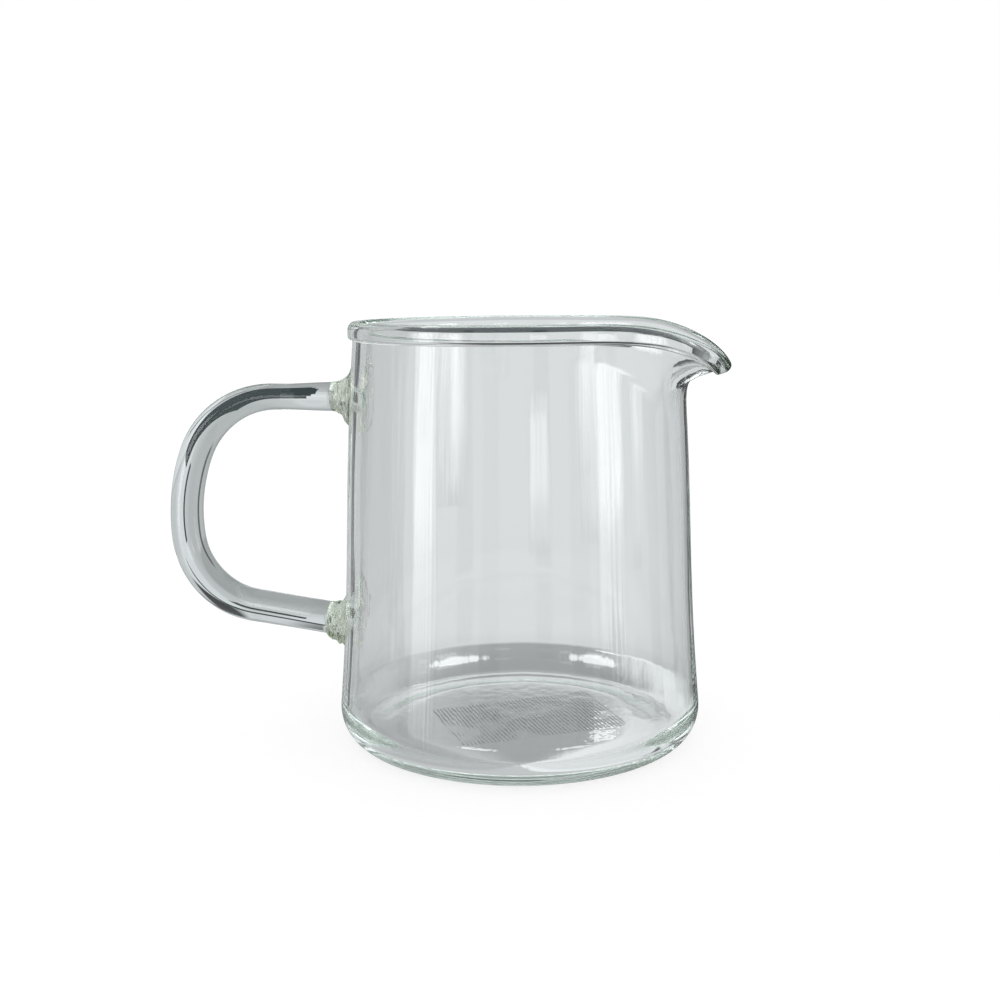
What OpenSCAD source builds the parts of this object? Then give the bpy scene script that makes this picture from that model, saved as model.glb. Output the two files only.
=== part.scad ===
// Glass pitcher made at the lamp: a blown cup with a rolled rim and a lip pulled for pouring,
// and a bent glass rod that is melted onto the wall at both ends as a handle.
// Millimetres. The origin is on the cup's axis, in the plane it stands on. The lip points to +X.

/* [Cup] */
// Height from the foot to the top of the rim
pitcher_h = 98.7; // [85:0.1:125]
// Widest outside diameter, just above the heel
body_d = 86.4; // [76:0.1:104]
// Outside diameter of the neck, just under the rim
neck_d = 76.3; // [70:0.1:92]
// How far the blown wall wanders off a straight cone
wall_wave = 0.3; // [0:0.05:0.8]
// Thickness of the wall
wall_t = 2; // [1.4:0.1:2.8]
// Thickness of the floor
floor_t = 2.6; // [1.8:0.1:5]

/* [Heel and foot] */
// How far the outside of the heel curves in
heel_w = 6; // [4:0.1:9]
// How high the outside of the heel curves up
heel_h = 7.5; // [5:0.1:11]
// How far the inside of the heel curves in
inner_heel_w = 5.7; // [4:0.1:8]
// How high the inside of the heel curves up
inner_heel_h = 6.2; // [4:0.1:9]
// Width of the flat ring that the pitcher stands on
foot_ring_w = 6; // [3:0.1:6.5]
// Width of the slope from that ring up to the hollow
kick_slope_w = 1.2; // [0.5:0.1:2]
// Height of the hollow pressed up under the floor
kick_h = 0.6; // [0.3:0.05:1.2]

/* [Rim] */
// How far the rolled rim stands out from the neck
rim_proud = 1.1; // [0.8:0.05:1.8]
// Height of the rolled rim
rim_h = 4; // [3:0.1:6]
// Radius under the rim's outer edge
rim_under_r = 0.7; // [0.3:0.05:0.75]
// Height of the fire-polished crown of the rim
rim_crown_h = 1.6; // [1:0.1:2.2]

/* [Pouring lip] */
// How far the lip is pulled out past the neck
lip_reach = 8.1; // [4:0.1:10]
// How far the lip sinks below the rest of the rim
lip_drop = 6.8; // [3:0.1:9]
// Lean of the lip from upright at its tip, in degrees
lip_lean = 71; // [40:1:80]
// Half of the angle of the rim that the pull reaches, in degrees
lip_half_angle = 66; // [45:1:80]
// Depth below the rim at which the pull starts
lip_root_depth = 22.2; // [19:0.2:28]

/* [Handle] */
// Diameter of the rod in the grip
rod_d = 8; // [6:0.1:9.5]
// Diameter of the rod where it was drawn thin in its upper arm
rod_top_d = 6.1; // [5:0.1:7.5]
// Diameter of the rod at its upper end, pressed fat again against the wall
rod_end_d = 7; // [5:0.1:8]
// How much fatter the rod is in the middle of its lower bend
bend_swell = 0.5; // [0:0.05:1.2]
// Depth of the rod's centre line below the top of the rim, at its upper end
rod_top_depth = 18.1; // [15.5:0.1:22]
// Slope of the upper arm, down and away from the cup, in degrees
arm_fall = 0.5; // [0:0.1:8]
// Length of the straight upper arm
arm_l = 14.8; // [10:0.1:24]
// Radius of the upper bend
upper_bend_r = 22.3; // [14:0.1:24]
// Angle of the upper bend, in degrees
upper_bend_angle = 68; // [60:0.5:70]
// Radius of the gently curved back
back_r = 45; // [36:0.5:52]
// Angle of the back, in degrees
back_angle = 27; // [22:0.5:32]
// Radius of the lower bend
lower_bend_r = 19.1; // [16:0.1:22]
// Angle of the lower bend, in degrees
lower_bend_angle = 77; // [72:0.2:80]

/* [Welds] */
// Length of glass between the end of the rod and the wall
weld_l = 5.7; // [4:0.1:8]
// How far the upper weld spreads up the wall
upper_weld_rise = 6.6; // [2:0.1:7]
// How far the upper weld spreads down the wall
upper_weld_sag = 6.2; // [2:0.1:8]
// How far the lower weld spreads up the wall
lower_weld_rise = 7.6; // [2:0.1:9]
// How far the lower weld spreads down the wall
lower_weld_sag = 3.2; // [1.5:0.1:7]
// How far each weld spreads to either side
weld_spread = 3.4; // [1.5:0.1:5]

/* [Label] */
// Length of the clear film stuck under the floor
label_l = 42; // [30:1:46]
// Width of the clear film
label_w = 27; // [20:1:30]
// Thickness of the clear film
label_t = 0.15; // [0.12:0.01:0.25]
// Corner radius of the clear film
label_corner_r = 2; // [1:0.5:4]
// Turn of the clear film, in degrees
label_turn = 28.5; // [0:0.5:90]
// Place of its middle towards the lip
label_x = 2; // [-3:0.5:3]

/* [Hidden] */

// Overrun of every cut
overrun = 1;
// Facets of the turned pieces
$fn = 96;
// Steps along the heel, the wall, the rim's corners and the lip's section
heel_steps = 10;
wall_steps = 12;
corner_steps = 4;
crown_steps = 10;
lip_wall_steps = 12;
// Steps round the lip and round and along the rod
lip_steps = 44;
rod_sides = 24;
rod_steps = 50;
weld_steps = 9;

body_r = body_d / 2;
neck_r = neck_d / 2;
foot_r = body_r - heel_w;
floor_z = kick_h + floor_t;
// The blown wall ends here and the rolled rim starts
neck_z = pitcher_h - rim_h;
// The cup's wall is whole up to here, where the pull of the lip starts
root_z = pitcher_h - lip_root_depth;

function mix(a, b, s) = a + (b - a) * s;
function ease(s) = let (c = min(max(s, 0), 1)) c * c * (3 - 2 * c);
function backwards(list) = [for (i = [len(list) - 1 : -1 : 0]) list[i]];
// Points of an ellipse's arc about c, with half sizes w and h, from angle a to angle b
function arc(c, w, h, a, b, steps) =
    [for (i = [0 : steps]) let (t = mix(a, b, i / steps)) c + [w * cos(t), h * sin(t)]];

// Outside radius of the cup at height z: a cone with one slow wave in it
function wall_r(z) =
    let (s = (z - heel_h) / (neck_z - heel_h))
    mix(body_r, neck_r, s) - wall_wave * sin(360 * s);
// How fast the wall leans in where it leaves the heel, and the heel's angle there
heel_slope = (body_r - neck_r + 2 * PI * wall_wave) / (neck_z - heel_h);
heel_top_angle = atan(heel_slope * heel_h / heel_w);
inner_heel_z = floor_z + inner_heel_h;
inner_heel_top_angle = atan(heel_slope * inner_heel_h / inner_heel_w);

heel_top_z = heel_h + heel_h * sin(heel_top_angle);
inner_heel_top_z = inner_heel_z + inner_heel_h * sin(inner_heel_top_angle);
function wall_points(low_z, inset) =
    [for (i = [1 : wall_steps]) let (z = mix(low_z, root_z, i / wall_steps)) [wall_r(z) - inset, z]];

outer_profile = concat(
    [[0, kick_h], [foot_r - foot_ring_w - kick_slope_w, kick_h], [foot_r - foot_ring_w, 0]],
    arc([foot_r, heel_h], heel_w, heel_h, -90, heel_top_angle, heel_steps),
    wall_points(heel_top_z, 0),
    [[neck_r, neck_z]]
);
inner_profile = concat(
    [[0, floor_z]],
    arc(
        [wall_r(inner_heel_z) - wall_t - inner_heel_w, inner_heel_z],
        inner_heel_w, inner_heel_h, -90, inner_heel_top_angle, heel_steps
    ),
    wall_points(inner_heel_top_z, wall_t),
    [[neck_r - wall_t, neck_z]]
);

// Outline of the rolled rim. Its first number is measured outwards from the middle of the wall
// and its second one upwards from the end of the wall.
rim_edge = wall_t / 2 + rim_proud;
rim_outline = concat(
    [[wall_t / 2, 0]],
    arc([rim_edge - rim_under_r, rim_under_r], rim_under_r, rim_under_r, -90, 0, corner_steps),
    arc([rim_proud / 2, rim_h - rim_crown_h], wall_t / 2 + rim_proud / 2, rim_crown_h, 0, 180, crown_steps),
    [[-wall_t / 2, 0]]
);

module ring_sector(from_angle, to_angle) {
    rotate([0, 0, from_angle]) rotate_extrude(angle = to_angle - from_angle) children();
}

// The blown cup: wall, heel and floor in one thickness of glass, open where the lip is pulled
module vessel_body() {
    color("lightcyan", 0.5)
        difference() {
            rotate_extrude() polygon(concat(outer_profile, backwards(inner_profile)));
            ring_sector(-lip_half_angle, lip_half_angle)
                translate([neck_r - wall_t - overrun, root_z])
                square([body_r - neck_r + wall_t + 2 * overrun, neck_z - root_z + overrun]);
        }
}

// The rolled and fire-polished rim, from one side of the lip round to the other
module rim_bead() {
    color("powderblue", 0.6)
        ring_sector(lip_half_angle, 360 - lip_half_angle)
        translate([neck_r - wall_t / 2, neck_z]) polygon(rim_outline);
}

// Share of the full pull at angle b from the lip's middle
function pull(b) = (1 + cos(180 * b / lip_half_angle)) / 2;
// The rim widens early in the pull, sinks later and leans last
widen_power_share = 0.65;
sink_power_share = 2;
lean_power_share = 5;
// How far the section's curve is led along the wall and along the lip, at rest and at full pull
rest_lead_share = 1 / 3;
root_lead_share = 0.95;
lip_lead_share = 0.53;

lip_root = [wall_r(root_z) - wall_t / 2, root_z];
neck_lean = atan((neck_r - wall_t / 2 - lip_root.x) / (neck_z - root_z));
function lean_at(b) = lip_lean * pow(pull(b), lean_power_share);
function lip_base(b) = [
    neck_r - wall_t / 2 + lip_reach * pow(pull(b), widen_power_share),
    neck_z - lip_drop * pow(pull(b), sink_power_share)
];
function bezier(p, t) = let (u = 1 - t)
    u * u * u * p[0] + 3 * u * u * t * p[1] + 3 * u * t * t * p[2] + t * t * t * p[3];
function bezier_way(p, t) = let (u = 1 - t)
    u * u * (p[1] - p[0]) + 2 * u * t * (p[2] - p[1]) + t * t * (p[3] - p[2]);
// Control points of the middle of the wall at angle b, from the root to the base of the rim
function lip_curve(b) = let (
    end = lip_base(b),
    rise = end.y - lip_root.y,
    way = neck_lean * (1 - pull(b)) + lean_at(b),
    root_lead = rise * mix(rest_lead_share, root_lead_share, pull(b)),
    lip_lead = rise * mix(rest_lead_share, lip_lead_share, pull(b))
) [
    lip_root,
    lip_root + root_lead * [sin(neck_lean), cos(neck_lean)],
    end - lip_lead * [sin(way), cos(way)],
    end
];
// One side of the wall at angle b: side is 1 outside and -1 inside
function lip_side(b, side) = let (p = lip_curve(b)) [
    for (i = [0 : lip_wall_steps - 1]) let (
        t = i / lip_wall_steps,
        way = bezier_way(p, t),
        outwards = i == 0 ? [1, 0] : [way.y, -way.x] / norm(way)
    ) bezier(p, t) + side * outwards * wall_t / 2
];
function lip_rim(b) = let (end = lip_base(b), a = lean_at(b)) [
    for (p = rim_outline) end + [p.x * cos(a) + p.y * sin(a), p.y * cos(a) - p.x * sin(a)]
];
function lip_section(b) = concat(lip_side(b, 1), lip_rim(b), backwards(lip_side(b, -1)));

// Skin of a row of closed rings that have the same number of points
module skin(rings) {
    n = len(rings[0]);
    last = len(rings) - 1;
    sides = [for (i = [0 : last - 1], j = [0 : n - 1]) let (
        k = (j + 1) % n, a = i * n + j, b = i * n + k, c = (i + 1) * n + k, d = (i + 1) * n + j
    ) each [[a, b, c], [a, c, d]]];
    first_cap = [for (j = [n - 1 : -1 : 0]) j];
    last_cap = [for (j = [0 : n - 1]) last * n + j];
    polyhedron([for (ring = rings) each ring], concat([first_cap], sides, [last_cap]), convexity = 10);
}

// The pouring lip, pulled out of the wall and down while it was soft
module pouring_lip() {
    color("paleturquoise", 0.6)
        skin([for (i = [0 : lip_steps]) let (b = mix(lip_half_angle, -lip_half_angle, i / lip_steps))
            [for (p = lip_section(b)) [p.x * cos(b), p.x * sin(b), p.y]]
        ]);
}

// Height of the rod's centre line at its upper end
rod_top_z = pitcher_h - rod_top_depth;
// The rod's centre line, as [x, z, heading]: a straight arm, a bend, a gently curved back,
// a second bend and a straight arm that comes back to the wall
function straight(p, s) = [p.x + s * cos(p.z), p.y + s * sin(p.z), p.z];
function bend(p, r, a) = [
    p.x + r * (sin(p.z + a) - sin(p.z)),
    p.y + r * (cos(p.z) - cos(p.z + a)),
    p.z + a
];
arm_start = [-wall_r(rod_top_z) - weld_l, rod_top_z, 180 + arm_fall];
arm_end = straight(arm_start, arm_l);
back_start = bend(arm_end, upper_bend_r, upper_bend_angle);
back_end = bend(back_start, back_r, back_angle);
low_arm_start = bend(back_end, lower_bend_r, lower_bend_angle);
low_arm_l = (-wall_r(low_arm_start.y) - weld_l - low_arm_start.x) / cos(low_arm_start.z);

function arc_length(r, a) = PI * r * a / 180;
upper_bend_s = arm_l + arc_length(upper_bend_r, upper_bend_angle);
back_s = upper_bend_s + arc_length(back_r, back_angle);
lower_bend_s = back_s + arc_length(lower_bend_r, lower_bend_angle);
rod_l = lower_bend_s + low_arm_l;
function rod_at(s) =
    s < arm_l ? straight(arm_start, s) :
    s < upper_bend_s ? bend(arm_end, upper_bend_r, (s - arm_l) / arc_length(upper_bend_r, 1)) :
    s < back_s ? bend(back_start, back_r, (s - upper_bend_s) / arc_length(back_r, 1)) :
    s < lower_bend_s ? bend(back_end, lower_bend_r, (s - back_s) / arc_length(lower_bend_r, 1)) :
    straight(low_arm_start, s - lower_bend_s);
// The rod is thin in its upper arm, full from the back on, and fattest in the lower bend
swell_s = (back_s + lower_bend_s) / 2;
swell_reach = lower_bend_s - back_s;
function rod_r(s) =
    mix(rod_top_d, rod_d, ease((s - arm_l / 2) / (upper_bend_s - arm_l / 2))) / 2
    + (rod_end_d - rod_top_d) / 2 * (1 - ease(s / arm_l))
    + bend_swell / 2 * (1 - ease(abs(s - swell_s) / swell_reach));

// A ring of the rod or of a weld: c is its centre and heading, up, down and side its half sizes
function oval(c, up, down, side) = [
    for (i = [0 : rod_sides - 1]) let (
        a = 360 * i / rod_sides,
        rise = sin(a) * (sin(a) > 0 ? up : down)
    ) [c.x - rise * sin(c.z), side * cos(a), c.y + rise * cos(c.z)]
];

// The bent glass rod
module handle_rod() {
    color("azure", 0.8)
        skin([for (i = [0 : rod_steps]) let (s = rod_l * i / rod_steps, r = rod_r(s))
            oval(rod_at(s), r, r, r)
        ]);
}

// The space inside the cup's outer surface, which cuts the welds to fit the wall
module cup_space() {
    rotate_extrude() polygon(concat(outer_profile, [[0, neck_z]]));
}

// How steeply each weld spreads over and under the rod, and to its sides. A high power is a
// tight hollow curve, and one below 1 is a bulge.
upper_weld_over_share = 3.6;
upper_weld_under_share = 1.8;
lower_weld_over_share = 5.7;
lower_weld_under_share = 0.7;
side_power_share = 2.2;
// How deep a weld's plain end reaches into the cup's space before it is cut to the wall
weld_bite = wall_t;

// Melted glass from an end of the rod, at c with radius r, to the wall. way is -1 or 1: the
// rod's heading leads away from the cup or towards it. over and under are [spread, power].
module weld(c, r, way, over, under) {
    level = way < 0 ? 180 : 360;
    up = way < 0 ? under : over;
    down = way < 0 ? over : under;
    foot_x = -wall_r(c.y);
    rings = [for (i = [0 : weld_steps]) let (s = sin(90 * i / weld_steps))
        oval(
            [mix(c.x, foot_x, s), c.y, mix(c.z, level, s)],
            r + up[0] * pow(s, up[1]),
            r + down[0] * pow(s, down[1]),
            r + weld_spread * pow(s, side_power_share)
        )
    ];
    inner_x = foot_x + weld_bite + weld_spread;
    inner_ring = oval([inner_x, c.y, level], r + up[0], r + down[0], r + weld_spread);
    all_rings = concat(rings, [inner_ring]);
    difference() {
        skin(way < 0 ? backwards(all_rings) : all_rings);
        cup_space();
    }
}

// The upper weld flares up the wall in a tight hollow curve and runs down it more slackly
module upper_weld() {
    over = [upper_weld_rise, upper_weld_over_share];
    under = [upper_weld_sag, upper_weld_under_share];
    color("honeydew", 0.9) weld(arm_start, rod_r(0), -1, over, under);
}

// The lower weld has a tight hollow curve above and a bulging gather of glass below
module lower_weld() {
    over = [lower_weld_rise, lower_weld_over_share];
    under = [lower_weld_sag, lower_weld_under_share];
    color("honeydew", 0.9) weld(rod_at(rod_l), rod_r(rod_l), 1, over, under);
}

// The bare clear film stuck in the hollow under the floor
module base_label() {
    straight_l = label_l - 2 * label_corner_r;
    straight_w = label_w - 2 * label_corner_r;
    color("whitesmoke", 0.7)
        translate([label_x, 0, kick_h - label_t]) rotate([0, 0, label_turn])
        linear_extrude(label_t) {
            square([label_l, straight_w], center = true);
            square([straight_l, label_w], center = true);
            for (x = [-straight_l / 2, straight_l / 2], y = [-straight_w / 2, straight_w / 2])
                translate([x, y]) circle(label_corner_r);
        }
}

vessel_body();
rim_bead();
pouring_lip();
handle_rod();
upper_weld();
lower_weld();
base_label();
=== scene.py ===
# %% [markdown]
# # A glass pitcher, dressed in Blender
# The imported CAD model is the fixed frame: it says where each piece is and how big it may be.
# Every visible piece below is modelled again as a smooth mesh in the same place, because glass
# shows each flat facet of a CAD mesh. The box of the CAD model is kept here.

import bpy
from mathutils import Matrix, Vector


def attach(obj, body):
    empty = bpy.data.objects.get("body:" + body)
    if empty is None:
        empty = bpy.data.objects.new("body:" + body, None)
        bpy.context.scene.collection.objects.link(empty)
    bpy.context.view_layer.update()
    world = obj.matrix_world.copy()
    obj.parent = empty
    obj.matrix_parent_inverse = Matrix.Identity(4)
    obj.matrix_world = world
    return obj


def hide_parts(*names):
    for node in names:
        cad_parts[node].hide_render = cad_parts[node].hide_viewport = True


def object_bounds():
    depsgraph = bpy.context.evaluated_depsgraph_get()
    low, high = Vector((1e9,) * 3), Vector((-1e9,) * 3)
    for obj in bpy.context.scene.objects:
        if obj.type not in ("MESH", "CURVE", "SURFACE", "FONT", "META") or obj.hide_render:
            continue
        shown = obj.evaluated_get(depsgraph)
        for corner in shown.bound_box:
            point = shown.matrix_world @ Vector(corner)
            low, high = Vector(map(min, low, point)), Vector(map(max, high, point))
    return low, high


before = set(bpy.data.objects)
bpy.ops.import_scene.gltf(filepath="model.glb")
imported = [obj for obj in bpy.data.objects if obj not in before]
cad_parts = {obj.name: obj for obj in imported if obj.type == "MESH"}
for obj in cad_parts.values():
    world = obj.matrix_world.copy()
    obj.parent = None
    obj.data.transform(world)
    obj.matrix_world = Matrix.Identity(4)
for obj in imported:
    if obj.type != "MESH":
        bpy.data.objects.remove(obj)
cad_box = [list(corner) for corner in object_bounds()]

import math

import bmesh
import bpy
from mathutils import Matrix, Vector, noise

print("CAD box in mm:", [[round(1000 * x, 2) for x in corner] for corner in cad_box])

# %% [markdown]
# ## The camera
# The picture was taken from a little above the rim, with the handle to the left. A camera is
# placed by three facts: where it stands, where it looks, and how wide its lens is. The place is
# given as a distance and an angle round the cup's axis, so it is easy to think about. A slight
# roll makes up for a camera that wasn't held quite level.

# %% The camera
MM = 0.001
CAMERA_DISTANCE = 303.0
CAMERA_HEIGHT = 107.7
CAMERA_TURN = math.radians(8.7)
CAMERA_YAW = math.radians(99.52)
CAMERA_PITCH = math.radians(-9.64)
CAMERA_ROLL = math.radians(-0.51)
SENSOR_W, LENS = 36, 46.514
NEAREST = 10.0


def camera_place():
    """Where the camera stands, in mm."""
    return Vector((
        CAMERA_DISTANCE * math.sin(CAMERA_TURN),
        -CAMERA_DISTANCE * math.cos(CAMERA_TURN),
        CAMERA_HEIGHT,
    ))


def add_camera():
    """The scene's camera, turned by its yaw, its pitch and then its roll."""
    camera = bpy.data.objects.new("camera", bpy.data.cameras.new("camera"))
    bpy.context.scene.collection.objects.link(camera)
    camera.data.sensor_width = SENSOR_W
    camera.data.lens = LENS
    camera.data.clip_start = NEAREST * MM
    look = Vector((
        math.cos(CAMERA_YAW) * math.cos(CAMERA_PITCH),
        math.sin(CAMERA_YAW) * math.cos(CAMERA_PITCH),
        math.sin(CAMERA_PITCH),
    ))
    right = look.cross(Vector((0, 0, 1))).normalized()
    up = right.cross(look)
    turn = Matrix((right, up, -look)).transposed().to_4x4()
    place = Matrix.Translation(camera_place() * MM)
    camera.matrix_world = place @ turn @ Matrix.Rotation(CAMERA_ROLL, 4, "Z")
    bpy.context.scene.camera = camera
    return camera


camera = add_camera()
print(camera.name, "stands at, in mm:", [round(x, 1) for x in camera_place()])

# %% [markdown]
# ## The sizes of the cup
# The cup is blown from a tube, so it is round about its axis but for the lip. Its height and half
# its width are read from the frame, to a tenth of a millimetre. The other sizes are the CAD
# model's, in millimetres, and so are the small functions that bend them into curves. Two are tuned
# to the picture: the hollow underneath slopes more gently, and the rim's crown is fuller. The skin
# lies a hair inside the CAD model's, so that nothing passes it.

# %% Sizes and curves
PITCHER_H = round(cad_box[1][2] / MM, 1)
SKIN_TRIM = 0.03
BODY_R = round(cad_box[1][1] / MM, 1) - SKIN_TRIM
NECK_R = 76.3 / 2
WALL_WAVE = 0.3
WALL_T = 2.0
FLOOR_T = 2.6
HEEL_W, HEEL_H = 6.0, 7.5
INNER_HEEL_W, INNER_HEEL_H = 5.7, 6.2
KICK_H, KICK_R, FOOT_FLAT_W = 0.6, 27.0, 1.0
RIM_PROUD, RIM_H, RIM_UNDER_R, RIM_CROWN_H = 1.1, 4.0, 0.7, 2.0

FOOT_R = BODY_R - HEEL_W
FLOOR_Z = KICK_H + FLOOR_T
NECK_Z = PITCHER_H - RIM_H


def mix(a, b, share):
    """The value that far on the way from a to b."""
    return a + (b - a) * share


def ease(share):
    """A share from 0 to 1 that starts and ends gently."""
    s = min(max(share, 0.0), 1.0)
    return s * s * (3 - 2 * s)


def power(share, exponent):
    """A share to a power, safe for a share that rounding took just below 0."""
    return max(share, 0.0) ** exponent


def arc(centre, w, h, a, b, steps):
    """Points of an ellipse's arc from angle a to angle b, in degrees."""
    angles = [math.radians(mix(a, b, i / steps)) for i in range(steps + 1)]
    return [(centre[0] + w * math.cos(t), centre[1] + h * math.sin(t)) for t in angles]


def wall_r(z):
    """Outside radius of the blown wall at height z: a cone with one slow wave in it."""
    s = (z - HEEL_H) / (NECK_Z - HEEL_H)
    return mix(BODY_R, NECK_R, s) - WALL_WAVE * math.sin(2 * math.pi * s)


HEEL_SLOPE = (BODY_R - NECK_R + 2 * math.pi * WALL_WAVE) / (NECK_Z - HEEL_H)
print("the pitcher is", PITCHER_H, "mm high, and its body is", round(2 * BODY_R, 2), "mm wide")
print("the wall leans in by", round(HEEL_SLOPE, 3), "mm for each mm it rises from the heel")

# %% [markdown]
# ## The pouring lip and the rolled rim
# The lip is the soft rim pulled out and down. Going round the rim, the pull grows from nothing to
# full at the lip's middle and back. At each angle the wall follows one cubic curve from the root
# of the pull to the rim, and the rim's outline sits square on the end of that curve. A curve per
# angle gives a shape that flows, which pushing the points of a finished cup about wouldn't. At its
# sides the lip is tuned to the picture: its root sits higher there, and it widens a little later.

# %% The lip's curve and the rim's outline
LIP_REACH, LIP_DROP, LIP_LEAN = 8.1, 6.8, 71.0
LIP_HALF_TURN = 66
LIP_HALF_ANGLE = math.radians(LIP_HALF_TURN)
ROOT_Z = PITCHER_H - 22.2
WIDEN_POWER, SINK_POWER, LEAN_POWER = 0.78, 2, 5
REST_LEAD, ROOT_LEAD, LIP_LEAD = 1 / 3, 0.95, 0.53
SIDE_ROOT_Z = NECK_Z - 4.5
ROOT_LOW_AT = 0.8


def pull(angle):
    """Share of the full pull at this angle from the lip's middle."""
    away = abs(math.remainder(angle, 2 * math.pi))
    return (1 + math.cos(math.pi * min(away / LIP_HALF_ANGLE, 1.0))) / 2


def lean_at(angle):
    """How far the rim leans out at this angle, in radians."""
    return math.radians(LIP_LEAN) * power(pull(angle), LEAN_POWER)


def lip_curve(angle):
    """Control points of the middle of the wall, from the root of the pull to the rim."""
    p = pull(angle)
    root_z = mix(SIDE_ROOT_Z, ROOT_Z, ease(p / ROOT_LOW_AT))
    root = Vector((wall_r(root_z) - WALL_T / 2, root_z))
    neck_lean = math.atan((NECK_R - WALL_T / 2 - root.x) / (NECK_Z - root_z))
    end = Vector((
        NECK_R - WALL_T / 2 + LIP_REACH * power(p, WIDEN_POWER),
        NECK_Z - LIP_DROP * power(p, SINK_POWER),
    ))
    rise = end.y - root.y
    way = neck_lean * (1 - p) + lean_at(angle)
    start = Vector((math.sin(neck_lean), math.cos(neck_lean)))
    stop = Vector((math.sin(way), math.cos(way)))
    return (
        root,
        root + rise * mix(REST_LEAD, ROOT_LEAD, p) * start,
        end - rise * mix(REST_LEAD, LIP_LEAD, p) * stop,
        end,
    )


def lip_side(curve, side, steps):
    """One face of the wall above the root: side is 1 outside and -1 inside."""
    a, b, c, d = curve
    points = []
    for i in range(steps):
        t = i / steps
        u = 1 - t
        spot = u**3 * a + 3 * u * u * t * b + 3 * u * t * t * c + t**3 * d
        way = u * u * (b - a) + 2 * u * t * (c - b) + t * t * (d - c)
        out = Vector((1, 0)) if i == 0 else Vector((way.y, -way.x)).normalized()
        points.append(tuple(spot + side * out * WALL_T / 2))
    return points


RIM_EDGE = WALL_T / 2 + RIM_PROUD
FILLET = 0.35
FILLET_STEPS, UNDER_STEPS, CROWN_STEPS = 4, 6, 28
CROWN_CENTRE = (RIM_PROUD / 2, RIM_H - RIM_CROWN_H)
RIM_OUTLINE = (
    arc((WALL_T / 2 + FILLET, -FILLET), FILLET, FILLET, 180, 90, FILLET_STEPS)
    + arc((RIM_EDGE - RIM_UNDER_R, RIM_UNDER_R), RIM_UNDER_R, RIM_UNDER_R, -90, 0, UNDER_STEPS)
    + arc(CROWN_CENTRE, RIM_EDGE - RIM_PROUD / 2, RIM_CROWN_H, 0, 180, CROWN_STEPS)
)


def lip_rim(curve, angle):
    """The rim's outline, set on the end of the wall and leaning with it."""
    end = curve[3]
    c, s = math.cos(lean_at(angle)), math.sin(lean_at(angle))
    return [(end.x + out * c + up * s, end.y + up * c - out * s) for out, up in RIM_OUTLINE]


print("the rim's outline has", len(RIM_OUTLINE), "points")

# %% [markdown]
# ## The cup in one skin
# On the real pitcher the wall, the rolled rim and the lip are one piece of glass: only the work
# done on them differs. So they are one closed skin here too. With a seam between them, light
# would be thrown back inside the glass, and a line would show that the real cup doesn't have.
# The section runs from under the floor's middle, up the outside, over the rim and down the
# inside, and it is turned round the axis like on a lathe. The wall of a blown cup is never quite
# even, so faint long swells run up it. They only ever take glass away, so the cup stays in its box.

# %% One section of the cup at an angle
WALL_STEPS = 26
LIP_STEPS = 22
HEEL_STEPS = 20
KICK_STEPS = 18
FLAT_STEPS = 8
# turns round the cup and depth of each swell
SWELLS = ((2, 0.35), (5, 0.25), (9, 0.2), (16, 0.12), (29, 0.08))
SWELL_DEPTH, SWELL_DRIFT = 0.05, 0.012
# these keep the swells from lining up
SWELL_PHASE, SEED_PHASE = 3.1, 1.7
SWELL_LOW_Z, SWELL_LOW_FADE = 9.0, 14.0
SWELL_HIGH_Z, SWELL_HIGH_FADE = PITCHER_H - 8, 12.0


def heel_top(w, h):
    """Angle, in degrees, at which an elliptical heel runs smoothly into the leaning wall."""
    return math.degrees(math.atan(HEEL_SLOPE * h / w))


def foot_points():
    """The underside: a shallow hollow, a soft slope and the flat ring that the cup stands on."""
    points = [(KICK_R * i / FLAT_STEPS, KICK_H) for i in range(1, FLAT_STEPS)]
    for i in range(KICK_STEPS + 1):
        s = i / KICK_STEPS
        points.append((mix(KICK_R, FOOT_R - FOOT_FLAT_W, s), KICK_H * (1 - ease(s))))
    return points


def wall_points(low_z, top_z, inset):
    """The wall between two heights, that far inside its outer face."""
    heights = [mix(low_z, top_z, i / WALL_STEPS) for i in range(1, WALL_STEPS)]
    return [(wall_r(z) - inset, z) for z in heights]


def cup_section(angle):
    """The outside, the rim and the inside of the cup at this angle, as (radius, height) points."""
    curve = lip_curve(angle)
    top = heel_top(HEEL_W, HEEL_H)
    outer = foot_points()
    outer += arc((FOOT_R, HEEL_H), HEEL_W, HEEL_H, -90, top, HEEL_STEPS)
    outer += wall_points(outer[-1][1], curve[0].y, 0.0)
    outer += lip_side(curve, 1, LIP_STEPS)
    low = FLOOR_Z + INNER_HEEL_H
    middle = wall_r(low) - WALL_T - INNER_HEEL_W
    inner = [(middle * i / FLAT_STEPS, FLOOR_Z) for i in range(1, FLAT_STEPS)]
    inner_top = heel_top(INNER_HEEL_W, INNER_HEEL_H)
    inner += arc((middle, low), INNER_HEEL_W, INNER_HEEL_H, -90, inner_top, HEEL_STEPS)
    inner += wall_points(inner[-1][1], curve[0].y, WALL_T)
    inner += lip_side(curve, -1, LIP_STEPS)
    return outer, lip_rim(curve, angle), inner[::-1]


def swells(angle, z, seed):
    """Thickness that the wall lacks here, in mm: long swells that drift slowly as they rise."""
    total = 0.0
    for k, (turns, size) in enumerate(SWELLS):
        drift = SWELL_DRIFT * z * math.sin(seed + SWELL_PHASE * k)
        phase = turns * angle + seed * (k + SEED_PHASE) + drift * math.sqrt(turns)
        total += size * math.sin(phase)
    body = ease((z - SWELL_LOW_Z) / SWELL_LOW_FADE) * ease((SWELL_HIGH_Z - z) / SWELL_HIGH_FADE)
    return SWELL_DEPTH * (1 + total) * body


print("a section of the cup has", sum(len(part) for part in cup_section(0.0)), "points")

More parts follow.
